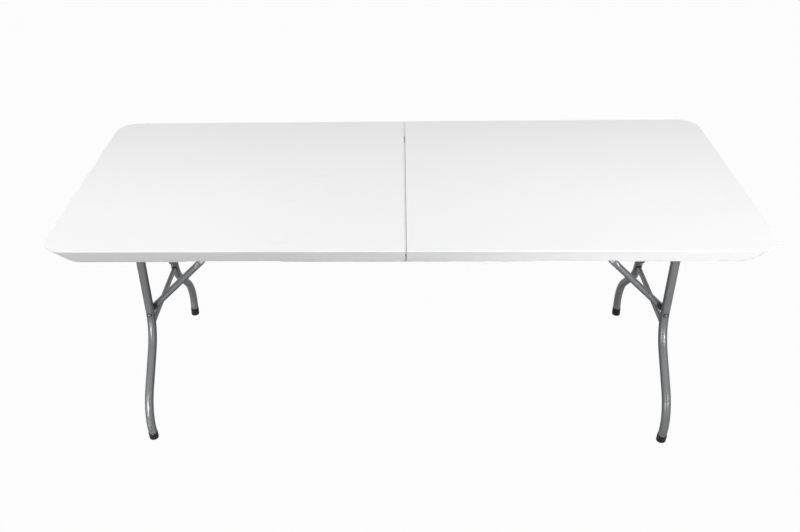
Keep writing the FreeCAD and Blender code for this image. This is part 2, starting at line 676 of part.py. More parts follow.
def carry_handle():
    # A bail that hangs from its pin: two flat arms with eyes, and a round grip between them.
    pin = handle_pin_start()
    arm_x = HANDLE_WIDTH / 2 - HANDLE_ARM_THICKNESS
    grip_z = pin.z - HANDLE_DROP
    pieces = []
    for side in (-1, 1):
        near = HANDLE_X + side * arm_x
        eye = rod(HANDLE_EYE_DIAMETER, point(near, pin.y, pin.z),
                  point(near + side * HANDLE_ARM_THICKNESS, pin.y, pin.z))
        x_low = min(near, near + side * HANDLE_ARM_THICKNESS)
        half = HANDLE_EYE_DIAMETER / 2
        arm_high = point(x_low + HANDLE_ARM_THICKNESS, pin.y + half, pin.z)
        arm = block(point(x_low, pin.y - half, grip_z), arm_high)
        pieces += [eye, arm]
    grip = rod(HANDLE_BAR_DIAMETER, point(HANDLE_X - HANDLE_WIDTH / 2, pin.y, grip_z),
               point(HANDLE_X + HANDLE_WIDTH / 2, pin.y, grip_z))
    bore_diameter = HANDLE_PIN_DIAMETER + 2 * TURNING_CLEARANCE
    bore = rod(bore_diameter, pin, pin + along_x * (HANDLE_NOTCH_WIDTH + 2 * HANDLE_PIN_BITE))
    return grip.fuse(pieces).removeSplitter().cut(bore)


# All pieces, by name

def half_pieces(layer, arm_hole):
    pieces = {}
    pieces["pivot_bushes"] = pivot_bushes()
    pieces["frame_screws"] = frame_screws()
    pieces["anchor_pins"] = anchor_pins()
    for name, side in SIDES:
        pieces[name + "_rail"] = rail(side)
        pieces[name + "_hinge_arm"] = hinge_arm(side, layer, arm_hole)
    return pieces


def leg_pieces():
    pieces = {}
    pieces["pivot_tube"] = pivot_tube()
    pieces["pivot_clips"] = pivot_clips()
    pieces["crossbar"] = crossbar()
    pieces["brace_bolts"] = brace_bolts()
    pieces["brace_spacers"] = brace_spacers()
    pieces["elbow_rivets"] = elbow_rivets()
    pieces["elbow_rivet_tails"] = elbow_rivet_tails()
    for name, side in SIDES:
        pieces[name + "_leg"] = leg(side)
        pieces[name + "_foot"] = foot_cap(side)
    drawn = {"brace_tube": brace_tube(), "brace_link": brace_link(), "brace_anchor": brace_anchor()}
    for name, front in drawn.items():
        pieces["front_" + name] = front
        pieces["rear_" + name] = front.mirror(origin, along_y)
    return pieces


turning_hole = HINGE_PIN_DIAMETER + 2 * TURNING_CLEARANCE
nodes = {}
nodes["right_top"] = top_half(True)
nodes["left_top"] = top_half(False).mirror(origin, along_x)
for name, shape in half_pieces(0, turning_hole).items():
    nodes["right_" + name] = shape
for name, shape in half_pieces(1, HINGE_PIN_DIAMETER).items():
    nodes["left_" + name] = shape.mirror(origin, along_x)
for name, shape in leg_pieces().items():
    nodes["right_" + name] = shape
    nodes["left_" + name] = shape.mirror(origin, along_x)
for name, side in SIDES:
    nodes[name + "_hinge_pin"] = hinge_pin(side)
nodes["handle_pin"] = handle_pin_rod()
nodes["carry_handle"] = carry_handle()

os.makedirs("parts", exist_ok=True)
for name, shape in nodes.items():
    shape.exportStep("parts/" + name + ".step")
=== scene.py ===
import math

import bmesh
import bpy
from mathutils import Matrix, Vector


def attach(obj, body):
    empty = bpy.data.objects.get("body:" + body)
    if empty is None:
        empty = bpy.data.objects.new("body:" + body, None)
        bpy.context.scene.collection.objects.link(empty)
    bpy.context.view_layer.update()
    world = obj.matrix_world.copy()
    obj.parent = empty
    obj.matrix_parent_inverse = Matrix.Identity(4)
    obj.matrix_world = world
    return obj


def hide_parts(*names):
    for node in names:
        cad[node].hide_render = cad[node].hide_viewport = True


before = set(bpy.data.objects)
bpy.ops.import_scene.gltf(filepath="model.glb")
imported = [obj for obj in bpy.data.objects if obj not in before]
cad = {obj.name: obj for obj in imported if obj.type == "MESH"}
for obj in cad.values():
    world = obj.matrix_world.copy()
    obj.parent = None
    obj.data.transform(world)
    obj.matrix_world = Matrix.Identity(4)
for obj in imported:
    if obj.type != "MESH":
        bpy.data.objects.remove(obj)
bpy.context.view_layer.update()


# Top halves. Each is a hollow panel of white polyethylene, blow-moulded in one shot with its
# drafted skirt and the pockets underneath that join its two skins. They meet at the seam across
# the middle.

class Field:
    """A socket of a node tree, so that maths on it reads as a Python expression."""

    def __init__(self, tree, socket=None):
        self.tree = tree
        self.socket = socket

    def node(self, kind, settings=None, out=0, **sockets):
        made = self.tree.nodes.new(kind)
        for name, value in (settings or {}).items():
            setattr(made, name, value)
        for name, value in sockets.items():
            place = int(name[3:]) if name.startswith("at_") else name.replace("_", " ")
            if isinstance(value, Field):
                self.tree.links.new(value.socket, made.inputs[place])
            else:
                made.inputs[place].default_value = value
        return Field(self.tree, made.outputs[out] if made.outputs else None)

    def math(self, operation, first, second):
        return self.node("ShaderNodeMath", {"operation": operation}, at_0=first, at_1=second)

    def __add__(self, other):
        return self.math("ADD", self, other)

    def __radd__(self, other):
        return self.math("ADD", other, self)

    def __sub__(self, other):
        return self.math("SUBTRACT", self, other)

    def __rsub__(self, other):
        return self.math("SUBTRACT", other, self)

    def __mul__(self, other):
        return self.math("MULTIPLY", self, other)

    def __rmul__(self, other):
        return self.math("MULTIPLY", other, self)

    def mix(self, low, high):
        """The colour between low and high that this mask picks."""
        return self.node("ShaderNodeMix", {"data_type": "RGBA"}, out=2,
                         at_0=self, at_6=low, at_7=high)

    def above(self, start, end):
        """0 below start, 1 above end, and a smooth step between."""
        return self.node("ShaderNodeMapRange", {"interpolation_type": "SMOOTHSTEP"},
                         Value=self, From_Min=start, From_Max=end)

    def noise(self, scale, detail):
        """Noise at this place; the scale is in cells per metre."""
        return self.node("ShaderNodeTexNoise", Vector=self, Scale=scale, Detail=detail)

    def stretched(self, x, y, z):
        """This place with its axes scaled, so that noise on it runs in streaks."""
        return self.node("ShaderNodeMapping", Vector=self, Scale=(x, y, z))

    def along(self, axis):
        """One coordinate of this place: X, Y or Z."""
        return self.node("ShaderNodeSeparateXYZ", out=axis, Vector=self)

    def relief(self, strength, distance):
        """The normal of a surface that this height raises."""
        return self.node("ShaderNodeBump", Strength=strength, Distance=distance, Height=self)


def new_finish(name, **constants):
    """A Principled material with constant inputs, its shader, and the Object coordinates."""
    material = bpy.data.materials.new(name)
    material.use_nodes = True
    shader = material.node_tree.nodes["Principled BSDF"]
    for socket, value in constants.items():
        shader.inputs[socket.replace("_", " ")].default_value = value
    place = Field(material.node_tree).node("ShaderNodeTexCoord", out="Object")
    return material, shader, place


def feed(shader, **inputs):
    for name, value in inputs.items():
        value.tree.links.new(value.socket, shader.inputs[name.replace("_", " ")])


def dress(material, *names):
    """Gives CAD nodes a finish."""
    for name in names:
        mesh = cad[name].data
        mesh.materials.clear()
        mesh.materials.append(material)


white_plastic, shader, place = new_finish("white_plastic", IOR=1.5, Specular_IOR_Level=0.28)
seam_shade_full, seam_shade_end = 0.0016, 0.0030
rim_bottom, skirt_foot_fade_top = 0.676, 0.688
pebble = place.noise(520.0, 1.5)
sink_marks = place.noise(8.0, 2.0)
cloud = place.noise(1.7, 3.0)
rubbing = place.stretched(7.0, 55.0, 30.0).noise(1.0, 5.0)
scuffs = rubbing.above(0.62, 0.72) * place.noise(2.6, 1.0).above(0.50, 0.62)
# Painted shade: the seam's chamfers and gap walls are made patchy dark grey, standing for the
# shadow down in the gap.
from_seam = place.math("ABSOLUTE", place.along("X"), 0.0)
seam_painted_shade = 1 - from_seam.above(seam_shade_full, seam_shade_end)
seam_painted_shade = seam_painted_shade * (0.6 + 0.4 * place.noise(90.0, 3.0))
# The lowest band of the skirt is made patchily darker and browner towards its bottom edge.
skirt_foot_darkening = 1 - place.along("Z").above(rim_bottom, skirt_foot_fade_top)
skirt_foot_darkening = skirt_foot_darkening * place.noise(38.0, 3.0).above(0.35, 0.65)
colour = cloud.mix((0.815, 0.815, 0.82, 1), (0.855, 0.855, 0.86, 1))
colour = (0.10 * scuffs).mix(colour, (0.60, 0.60, 0.61, 1))
colour = (0.30 * skirt_foot_darkening).mix(colour, (0.50, 0.49, 0.47, 1))
# The painted shade along the seam is mixed in here.
colour = (0.80 * seam_painted_shade).mix(colour, (0.30, 0.30, 0.30, 1))
roughness = 0.46 + 0.10 * sink_marks + 0.14 * scuffs + 0.06 * pebble
grain = (0.5 * pebble + 2.0 * sink_marks).relief(0.35, 0.0005)
feed(shader, Base_Color=colour, Roughness=roughness, Normal=grain)
dress(white_plastic, "left_top", "right_top")


# Side rails and centre hinge. The rails are sheet steel folded to a Z section and powder-coated
# grey. Hinge arms are welded into their inner ends, and turn on two headed pins of zinc-plated
# steel.

sides = ("left", -1), ("right", 1)
ends = ("front", -1), ("rear", 1)

grey_steel, shader, place = new_finish("grey_steel", IOR=1.5, Metallic=0.65,
                                       Specular_Tint=(0.35, 0.35, 0.36, 1))
dusty_below, dust_free = 0.05, 0.26
flake = place.noise(1500.0, 1.0)
peel = place.noise(240.0, 2.0)
cloud = place.noise(7.0, 3.0)
low_down = 1 - place.along("Z").above(dusty_below, dust_free)
scratches = place.stretched(160.0, 160.0, 14.0).noise(1.0, 4.0).above(0.64, 0.70)
scratches = scratches * place.noise(21.0, 2.0).above(0.48, 0.60)
dust = low_down * place.noise(60.0, 4.0).above(0.40, 0.75)
colour = cloud.mix((0.165, 0.168, 0.172, 1), (0.198, 0.201, 0.206, 1))
colour = (0.35 * flake).mix(colour, (0.255, 0.26, 0.265, 1))
colour = (0.45 * scratches).mix(colour, (0.46, 0.46, 0.47, 1))
colour = (0.25 * dust).mix(colour, (0.22, 0.21, 0.19, 1))
roughness = 0.27 + 0.06 * peel + 0.20 * dust + 0.03 * flake
coat = (peel + 0.1 * flake).relief(0.06, 0.0002)
feed(shader, Base_Color=colour, Roughness=roughness, Normal=coat)

zinc_steel, shader, place = new_finish("zinc_steel", Metallic=1.0)
spangle = place.noise(420.0, 3.0)
tarnish = place.noise(90.0, 4.0).above(0.45, 0.75)
colour = spangle.mix((0.40, 0.40, 0.41, 1), (0.60, 0.60, 0.61, 1))
colour = (0.5 * tarnish).mix(colour, (0.27, 0.26, 0.25, 1))
roughness = 0.28 + 0.18 * spangle + 0.2 * tarnish
feed(shader, Base_Color=colour, Roughness=roughness, Normal=spangle.relief(0.2, 0.0001))

for side, _ in sides:
    for end, _ in ends:
        dress(grey_steel, f"{side}_{end}_rail", f"{side}_{end}_hinge_arm")
dress(zinc_steel, "front_hinge_pin", "rear_hinge_pin")


# Frame screws. Self-tapping hex screws with a washer face under the head, zinc-plated,
# driven up through the rails and the brace anchors into the plastic.

def new_recipe(name, *inputs):
    """An empty Geometry Nodes tree with named inputs, and its inputs as Fields."""
    tree = bpy.data.node_groups.new(name, "GeometryNodeTree")
    tree.interface.new_socket("Geometry", in_out="OUTPUT", socket_type="NodeSocketGeometry")
    tree.interface.new_socket("Geometry", in_out="INPUT", socket_type="NodeSocketGeometry")
    for label, kind in inputs + (("Finish", "Material"),):
        tree.interface.new_socket(label, in_out="INPUT", socket_type="NodeSocket" + kind)
    start = tree.nodes.new("NodeGroupInput")
    return tree, {socket.name: Field(tree, socket) for socket in start.outputs if socket.name}


def end_recipe(shape, given):
    real = shape.node("GeometryNodeRealizeInstances", Geometry=shape)
    dressed = shape.node("GeometryNodeSetMaterial", Geometry=real, Material=given["Finish"])
    shape.node("NodeGroupOutput", Geometry=dressed)


def circle(field, radius, facets):
    """A round curve, to sweep along or to sweep with."""
    return field.node("GeometryNodeCurvePrimitiveCircle", {"mode": "RADIUS"},
                      Resolution=facets, Radius=radius)


def point_aim(field):
    """The rotation that turns Z to the axis stored with each point."""
    axis = field.node("GeometryNodeInputNamedAttribute", {"data_type": "FLOAT_VECTOR"},
                      Name="axis")
    return axis.node("FunctionNodeAlignRotationToVector", {"axis": "Z"}, Vector=axis)


def aimed_points(name, places):
    """A mesh of points; each place is (where it is, which way it points)."""
    points = bpy.data.meshes.new(name + "_places")
    points.from_pydata([where for where, _ in places], [], [])
    axes = points.attributes.new("axis", "FLOAT_VECTOR", "POINT")
    for number, (_, way) in enumerate(places):
        axes.data[number].vector = way
    return points


def place_piece(name, mesh):
    piece = bpy.data.objects.new(name, mesh)
    bpy.context.scene.collection.objects.link(piece)
    return piece


def mesh_of(name, shape):
    """A mesh from a bmesh, which is freed."""
    mesh = bpy.data.meshes.new(name)
    shape.to_mesh(mesh)
    shape.free()
    return mesh


def close_up(piece, sharp_degrees):
    """Merges a piece's doubles, turns its faces outwards, and smooths it up to an angle."""
    shape = bmesh.new()
    shape.from_mesh(piece.data)
    bmesh.ops.remove_doubles(shape, verts=shape.verts, dist=1e-6)
    bmesh.ops.recalc_face_normals(shape, faces=shape.faces)
    shape.to_mesh(piece.data)
    shape.free()
    piece.data.shade_smooth()
    piece.data.set_sharp_from_angle(angle=math.radians(sharp_degrees))


def cook(name, start, recipe, values, sharp_degrees=40):
    """The plain mesh that a recipe makes from a mesh of points or edges."""
    piece = place_piece(name, start)
    modifier = piece.modifiers.new(recipe.name, "NODES")
    modifier.node_group = recipe
    for item in recipe.interface.items_tree:
        if item.in_out == "INPUT" and item.name in values:
            modifier[item.identifier] = values[item.name]
    evaluated = piece.evaluated_get(bpy.context.evaluated_depsgraph_get())
    made = bpy.data.meshes.new_from_object(evaluated)
    piece.modifiers.clear()
    piece.data = made
    made.name = name
    close_up(piece, sharp_degrees)
    return piece


def turned(shape, profile, facets):
    """Adds to a bmesh a form turned about Z from (radius, height) pairs, closed on the axis."""
    rings = []
    for radius, level in profile:
        turns = [math.tau * number / facets for number in range(facets)] if radius else [0.0]
        rings.append([shape.verts.new((radius * math.cos(turn), radius * math.sin(turn), level))
                      for turn in turns])
    for lower, upper in zip(rings, rings[1:]):
        for number in range(facets):
            following = (number + 1) % facets
            corners = [lower[number % len(lower)], lower[following % len(lower)]]
            corners += [upper[following % len(upper)], upper[number % len(upper)]]
            shape.faces.new(list(dict.fromkeys(corners)))


def fastener(name, *forms):
    """One screw, bolt or rivet that points along +Z, as an object for the recipe to set."""
    shape = bmesh.new()
    for profile, facets in forms:
        turned(shape, profile, facets)
    bmesh.ops.recalc_face_normals(shape, faces=shape.faces)
    return bpy.data.objects.new(name, mesh_of(name, shape))


fastener_recipe, given = new_recipe("set_fasteners", ("Fastener", "Object"), ("Seed", "Int"))
aim = point_aim(given["Geometry"])
twist = aim.node("FunctionNodeRandomValue", {"data_type": "FLOAT"}, out=1,
                 at_2=0.0, at_3=math.tau, Seed=given["Seed"])
spin = aim.node("FunctionNodeAxisAngleToRotation", Axis=(0, 0, 1), Angle=twist)
turn = aim.node("FunctionNodeRotateRotation", {"rotation_space": "LOCAL"},
                Rotation=aim, Rotate_By=spin)
master = aim.node("GeometryNodeObjectInfo", out="Geometry", Object=given["Fastener"])
copies = aim.node("GeometryNodeInstanceOnPoints", Points=given["Geometry"], Instance=master,
                  Rotation=turn)
end_recipe(copies, given)


def set_fasteners(name, master, places, material, seed):
    """A row of like fasteners as one piece."""
    values = {"Fastener": master, "Seed": seed, "Finish": material}
    return cook(name, aimed_points(name, places), fastener_recipe, values, sharp_degrees=32)


def stands_for(piece, body, slot, *nodes):
    """Sets a piece on a body, in the place of CAD nodes where it has any."""
    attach(piece, body)
    if nodes:
        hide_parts(*nodes)


panel_underside = 0.704
rail_wall = 0.002
anchor_wall = 0.003
rail_screw_x = (0.154, 0.326, 0.498, 0.670)
rail_screw_y = 0.337
anchor_x = 0.41085
anchor_screw_spread = 0.0085
anchor_screw_y = 0.09622
hex_reach = 0.004 / math.cos(math.pi / 6)

screw_shank = [(0, -0.0118), (0.0006, -0.0116), (0.0020, -0.0090), (0.0020, 0.0002), (0, 0.0002)]
screw_washer = [(0, 0.0), (0.0055, 0.0), (0.0057, 0.0004), (0.0050, 0.0009), (0, 0.0009)]
screw_head = [(0, 0.0008), (hex_reach, 0.0008), (hex_reach, 0.0021), (hex_reach * 0.86, 0.0025),
              (0.0022, 0.0025), (0.0018, 0.0021), (0, 0.0021)]
hex_screw = fastener("hex_screw", (screw_shank, 12), (screw_washer, 28), (screw_head, 6))

for side, sign in sides:
    places = []
    for end, way in ends:
        for x in rail_screw_x:
            seat = (sign * x, way * rail_screw_y, panel_underside - rail_wall)
            places.append((seat, (0, 0, -1)))
        for step in (-1, 1):
            x = sign * (anchor_x + step * anchor_screw_spread)
            seat = (x, way * anchor_screw_y, panel_underside - anchor_wall)
            places.append((seat, (0, 0, -1)))
    screws = set_fasteners(f"{side}_hex_screws", hex_screw, places, zinc_steel, seed=4)
    stands_for(screws, f"{side}_half", "zinc_steel", f"{side}_frame_screws")


# Pivot tubes. A straight steel tube across the top of each leg frame, necked down at its ends to
# turn in flanged nylon bushes in the rails, where spring clips hold it.

tube_recipe, given = new_recipe("swept_tube", ("Tube Radius", "Float"), ("Bend Radius", "Float"),
                                ("Bend Steps", "Int"), ("Facets", "Int"))
route = given["Geometry"].node("GeometryNodeMeshToCurve", Mesh=given["Geometry"])
bent = route.node("GeometryNodeFilletCurve", {"mode": "POLY"}, Curve=route,
                  Count=given["Bend Steps"], Radius=given["Bend Radius"])
ring = circle(route, given["Tube Radius"], given["Facets"])
swept = route.node("GeometryNodeCurveToMesh", Curve=bent, Profile_Curve=ring, Fill_Caps=True)
end_recipe(swept, given)


def tube(name, corners, radius, bend, material):
    """A round tube along straight runs that one bend radius joins."""
    route = bpy.data.meshes.new(name + "_route")
    runs = [(number, number + 1) for number in range(len(corners) - 1)]
    route.from_pydata(corners, runs, [])
    values = {"Tube Radius": radius, "Bend Radius": bend, "Bend Steps": 28, "Facets": 44,
              "Finish": material}
    return cook(name, route, tube_recipe, values)


nylon, shader, place = new_finish("nylon", IOR=1.53)
flow = place.noise(130.0, 3.0)
colour = flow.mix((0.62, 0.60, 0.54, 1), (0.74, 0.72, 0.66, 1))
feed(shader, Base_Color=colour, Roughness=0.36 + 0.2 * flow, Normal=flow.relief(0.2, 0.0002))

pivot_x = 0.742
pivot_z = 0.689
pivot_radius = 0.011
shoulder = 0.3265
journal_reach = 0.0095
journal_radius = 0.006
for side, sign in sides:
    reach = [(sign * pivot_x, way * shoulder, pivot_z) for _, way in ends]
    bar = tube(f"{side}_pivot_bar", reach, pivot_radius, bend=0.0, material=grey_steel)
    neck = [(sign * pivot_x, way * (shoulder + journal_reach), pivot_z) for _, way in ends]
    journal = tube(f"{side}_pivot_journal", neck, journal_radius, bend=0.0, material=zinc_steel)
    stands_for(bar, f"{side}_leg_frame", "grey_steel", f"{side}_pivot_tube")
    stands_for(journal, f"{side}_leg_frame", "zinc_steel")
    dress(nylon, f"{side}_pivot_bushes")
    dress(zinc_steel, f"{side}_pivot_clips")


# Legs. Each is one length of 25 mm round steel tube, bent twice so that the pair narrows to a
# waist and flares to the feet, then powder-coated grey. Its upper end is welded to the pivot tube.

lean = math.tan(math.radians(1.85))
leg_radius = 0.0127
leg_bend = 0.156
leg_top_y, leg_top_z = 0.154, 0.684
waist_y, waist_z = 0.149, 0.289
flare_y, flare_z = 0.320, 0.115
foot_y, foot_z = 0.310, 0.005


def on_leg(sign, y, level):
    """A point of the leaning plane that a leg frame lies in."""
    return Vector((sign * (pivot_x + (pivot_z - level) * lean), y, level))


for side, sign in sides:
    for end, way in ends:
        corners = [on_leg(sign, way * leg_top_y, leg_top_z), on_leg(sign, way * waist_y, waist_z)]
        corners += [on_leg(sign, way * flare_y, flare_z), on_leg(sign, way * foot_y, foot_z)]
        leg = tube(f"{side}_{end}_bent_leg", corners, leg_radius, leg_bend, grey_steel)
        stands_for(leg, f"{side}_leg_frame", "grey_steel", f"{side}_{end}_leg")


# Crossbars and welds. A thin straight tube ties the two legs of a frame together at the waist.
# Its ends are notched to the legs and welded; each joint's black ring is part seal, part painted
# shade.
# Beads of weld also run round the legs' upper ends, at the pivot tube.

weld_recipe, given = new_recipe("weld_beads", ("Branch Radius", "Float"), ("Main Radius", "Float"),
                                ("Least Rise", "Float"), ("Bead Radius", "Float"),
                                ("Seed", "Float"))
loop = circle(given["Geometry"], given["Branch Radius"], 64)
here = loop.node("GeometryNodeInputPosition")
across = here.along("X")
wall = given["Main Radius"] * given["Main Radius"] - across * across
rise = loop.math("SQRT", loop.math("MAXIMUM", wall, 0.0), 0.0)
rise = loop.math("MAXIMUM", rise, given["Least Rise"])
saddle = loop.node("ShaderNodeCombineXYZ", X=across, Y=here.along("Y"), Z=0.0 - rise)
seat = loop.node("GeometryNodeSetPosition", Geometry=loop, Position=saddle)
ripple = loop.node("ShaderNodeTexNoise", {"noise_dimensions": "4D"}, Vector=here,
                   W=given["Seed"], Scale=420.0, Detail=1.0)
drop = circle(loop, given["Bead Radius"], 10)
bead = loop.node("GeometryNodeCurveToMesh", Curve=seat, Profile_Curve=drop,
                 Scale=0.6 + 0.8 * ripple)
beads = loop.node("GeometryNodeInstanceOnPoints", Points=given["Geometry"], Instance=bead,
                  Rotation=point_aim(loop))
end_recipe(beads, given)


def weld_beads(name, places, branch, main, least_rise, bead, seed, material):
    """A bead round each place where a branch tube ends on a main one."""
    values = {"Branch Radius": branch, "Main Radius": main, "Least Rise": least_rise,
              "Bead Radius": bead, "Seed": seed, "Finish": material}
    return cook(name, aimed_points(name, places), weld_recipe, values, sharp_degrees=60)


black_plastic, shader, place = new_finish("black_plastic", IOR=1.5, Specular_IOR_Level=0.20)
sole_dirty, sole_clean = 0.001, 0.012
matt = place.noise(650.0, 2.0)
worn = place.noise(110.0, 4.0).above(0.50, 0.80)
sole_dust = (1 - place.along("Z").above(sole_dirty, sole_clean)) * worn
colour = matt.mix((0.006, 0.006, 0.007, 1), (0.014, 0.014, 0.015, 1))
colour = (0.35 * worn).mix(colour, (0.032, 0.032, 0.033, 1))
colour = (0.5 * sole_dust).mix(colour, (0.10, 0.095, 0.09, 1))
roughness = 0.42 + 0.15 * matt + 0.15 * worn
feed(shader, Base_Color=colour, Roughness=roughness, Normal=matt.relief(0.3, 0.0002))

crossbar_y = 0.15476
crossbar_z = 0.313
crossbar_radius = 0.0075
crossbar_pullback = 0.006
seal_and_shade_bead = 0.0024
weld_bead = 0.0019
weld_least_rise = 0.005
waist_slope = math.radians(15.2)
notch_lift = leg_radius * math.sin(waist_slope)
notch_y = crossbar_y - notch_lift * math.tan(waist_slope)
for side, sign in sides:
    tie = [on_leg(sign, way * (crossbar_y - crossbar_pullback), crossbar_z) for _, way in ends]
    bar = tube(f"{side}_tie_bar", tie, crossbar_radius, bend=0.0, material=grey_steel)
    stands_for(bar, f"{side}_leg_frame", "grey_steel", f"{side}_crossbar")
    joints = []
    for _, way in ends:
        notch = on_leg(sign, way * notch_y, crossbar_z + notch_lift)
        joints.append((notch, (0, way * math.cos(waist_slope), math.sin(waist_slope))))
    # Black rings round the crossbar joints: partly a seal, partly painted shade for the deep shadow
    # where bar meets leg.
    seal_and_shade_rings = weld_beads(f"{side}_bar_seals", joints, crossbar_radius, leg_radius, least_rise=0.0,
                       bead=seal_and_shade_bead, seed=2.0, material=black_plastic)
    stands_for(seal_and_shade_rings, f"{side}_leg_frame", "black_plastic")
    joints = [((sign * pivot_x, way * leg_top_y, pivot_z), (0, 0, 1)) for _, way in ends]
    leg_welds = weld_beads(f"{side}_leg_welds", joints, leg_radius, pivot_radius,
                           least_rise=weld_least_rise, bead=weld_bead, seed=7.0,
                           material=grey_steel)
    stands_for(leg_welds, f"{side}_leg_frame", "grey_steel")


# Feet. Black moulded caps pushed over the leg ends, with a rounded lip at the mouth, two shallow
# rings round the wall and a flat sole on the floor.

foot_profile = [(0, -0.009), (0.0138, -0.009), (0.0140, 0.0), (0.0140, 0.0035), (0.0136, 0.0041),
                (0.0136, 0.0049), (0.0140, 0.0055), (0.0140, 0.0125), (0.0136, 0.0131),
                (0.0136, 0.0139), (0.0140, 0.0145), (0.0140, 0.0192), (0.0138, 0.0204),
                (0.0133, 0.0210), (0.0126, 0.0208), (0.0126, 0.0150), (0, 0.0150)]
sole_round = 0.0012

for side, sign in sides:
    for end, way in ends:
        sole = on_leg(sign, way * foot_y, foot_z)
        up_leg = (on_leg(sign, way * flare_y, flare_z) - sole).normalized()
        shape = bmesh.new()
        turned(shape, foot_profile, 40)
        tilt = up_leg.to_track_quat("Z", "Y").to_matrix().to_4x4()
        shape.transform(Matrix.Translation(sole) @ tilt)
        cut = bmesh.ops.bisect_plane(shape, geom=shape.verts[:] + shape.edges[:] + shape.faces[:],
                                     plane_co=(0, 0, 0), plane_no=(0, 0, 1), clear_inner=True)
        rim = [item for item in cut["geom_cut"] if isinstance(item, bmesh.types.BMEdge)]
        bmesh.ops.edgeloop_fill(shape, edges=rim)
        bmesh.ops.recalc_face_normals(shape, faces=shape.faces)
        bmesh.ops.bevel(shape, geom=rim, offset=sole_round, segments=3, affect="EDGES",
                        profile=0.5)
        mesh = mesh_of(f"{side}_{end}_foot_cap", shape)
        mesh.materials.append(black_plastic)
        cap = place_piece(mesh.name, mesh)
        close_up(cap, sharp_degrees=35)
        stands_for(cap, f"{side}_leg_frame", "black_plastic", f"{side}_{end}_foot")


# Brace bolts. A steel bolt with a low domed head on a black gasket goes through each leg above the
# crossbar, painted over with the leg. A black spacer keeps the brace off the leg, and the bolt is
# peened flat on the far side.

bolt_y = 0.14982
bolt_z = 0.35402
leg_face = bolt_y + leg_radius
tail = -0.0450
bolt_profile = [(0, tail), (0.0038, tail), (0.0050, tail + 0.0005), (0.0055, tail + 0.0012),
                (0.0055, tail + 0.0020), (0.0040, tail + 0.0020), (0.0040, -0.0030),
                (0.0055, -0.0016), (0.0056, 0.0004), (0.0053, 0.0013), (0.0044, 0.0021),
                (0.0026, 0.0025), (0, 0.0026)]
gasket_profile = [(0, -0.0030), (0.0076, -0.0030), (0.0079, -0.0012), (0.0078, -0.0003),
                  (0.0068, 0.0001), (0, 0.0001)]
brace_bolt = fastener("brace_bolt", (bolt_profile, 36))
bolt_gasket = fastener("bolt_gasket", (gasket_profile, 36))
for side, sign in sides:
    places = [(on_leg(sign, way * leg_face, bolt_z), (0, way, 0)) for _, way in ends]
    bolts = set_fasteners(f"{side}_domed_bolts", brace_bolt, places, grey_steel, seed=11)
    stands_for(bolts, f"{side}_leg_frame", "grey_steel", f"{side}_brace_bolts")
    gaskets = set_fasteners(f"{side}_bolt_gaskets", bolt_gasket, places, black_plastic, seed=12)
    stands_for(gaskets, f"{side}_leg_frame", "black_plastic")
    dress(black_plastic, f"{side}_brace_spacers")


# Brace tubes. Each is a 19 mm steel tube with both ends rounded: the lower one pressed flat round
# the bolt, the upper one pressed only on the outside, so that the link lies along its other side.

brace_y = 0.12582
anchor_z = 0.689
tube_half = 0.0095
press_depth = 0.0035
lower_flat, lower_round = 0.015, 0.034
upper_round, upper_flat = 0.026, 0.012
tip_steps = 8
tip_degrees = 85
arm_length = 0.24135
brace_foot = on_leg(1, 0, bolt_z)
slope = (Vector((anchor_x, 0, anchor_z)) - brace_foot).normalized()


def ease(start, end, value):
    part = min(max((value - start) / (end - start), 0.0), 1.0)
    return part * part * (3 - 2 * part)


def brace_section(along):
    """Half width, inner and outer half thickness, and squareness, at a distance from the bolt."""
    lower = 1 - ease(lower_flat, lower_round, along)
    upper = ease(arm_length - upper_round, arm_length - upper_flat, along)
    width = tube_half
    overshoot = max(-along, along - arm_length)
    if overshoot > 0:
        width *= math.sqrt(max(1 - (overshoot / tube_half) ** 2, 0.0))
    inner = tube_half - press_depth * lower
    outer = tube_half - press_depth * max(lower, upper)
    return width, inner, outer, 2.0 + 3.0 * lower + 1.5 * upper


def brace_mesh(name, sign, way):
    tip = [tube_half * math.sin(math.radians(tip_degrees * step / tip_steps))
           for step in range(1, tip_steps + 1)]
    stations = [-reach for reach in reversed(tip)]
    stations += [0.004 * step for step in range(11)]
    stations += [0.060 + 0.030 * step for step in range(6)]
    stations += [arm_length - 0.024 + 0.003 * step for step in range(9)]
    stations += [arm_length + reach for reach in tip]
    facets = 40
    up = Vector((-slope.z, 0, slope.x))
    shape = bmesh.new()
    rings = []
    for along in stations:
        width, inner, outer, square = brace_section(along)
        ring = []
        for number in range(facets):
            turn = math.tau * number / facets
            cosine, sine = math.cos(turn), math.sin(turn)
            across = math.copysign(abs(cosine) ** (2 / square), cosine)
            across *= inner if cosine > 0 else outer
            rise = math.copysign(abs(sine) ** (2 / square), sine) * width
            spot = brace_foot + slope * along + up * rise
            ring.append(shape.verts.new((sign * spot.x, way * (brace_y - across), spot.z)))
        rings.append(ring)
    for lower, upper in zip(rings, rings[1:]):
        for number in range(facets):
            following = (number + 1) % facets
            shape.faces.new((lower[number], lower[following], upper[following], upper[number]))
    shape.faces.new(rings[0])
    shape.faces.new(rings[-1])
    mesh = mesh_of(name, shape)
    mesh.materials.append(grey_steel)
    return mesh


for side, sign in sides:
    for end, way in ends:
        name = f"{side}_{end}_pressed_brace"
        brace = place_piece(name, brace_mesh(name, sign, way))
        close_up(brace, sharp_degrees=50)
        stands_for(brace, f"{side}_brace_arm", "grey_steel", f"{side}_{end}_brace_tube")


# Brace links, anchors and rivets. Flat steel links run from the elbow of each brace to bent steel
# anchors screwed under the top. The elbow is riveted, and a headed pin in the anchor is flush with
# the link.

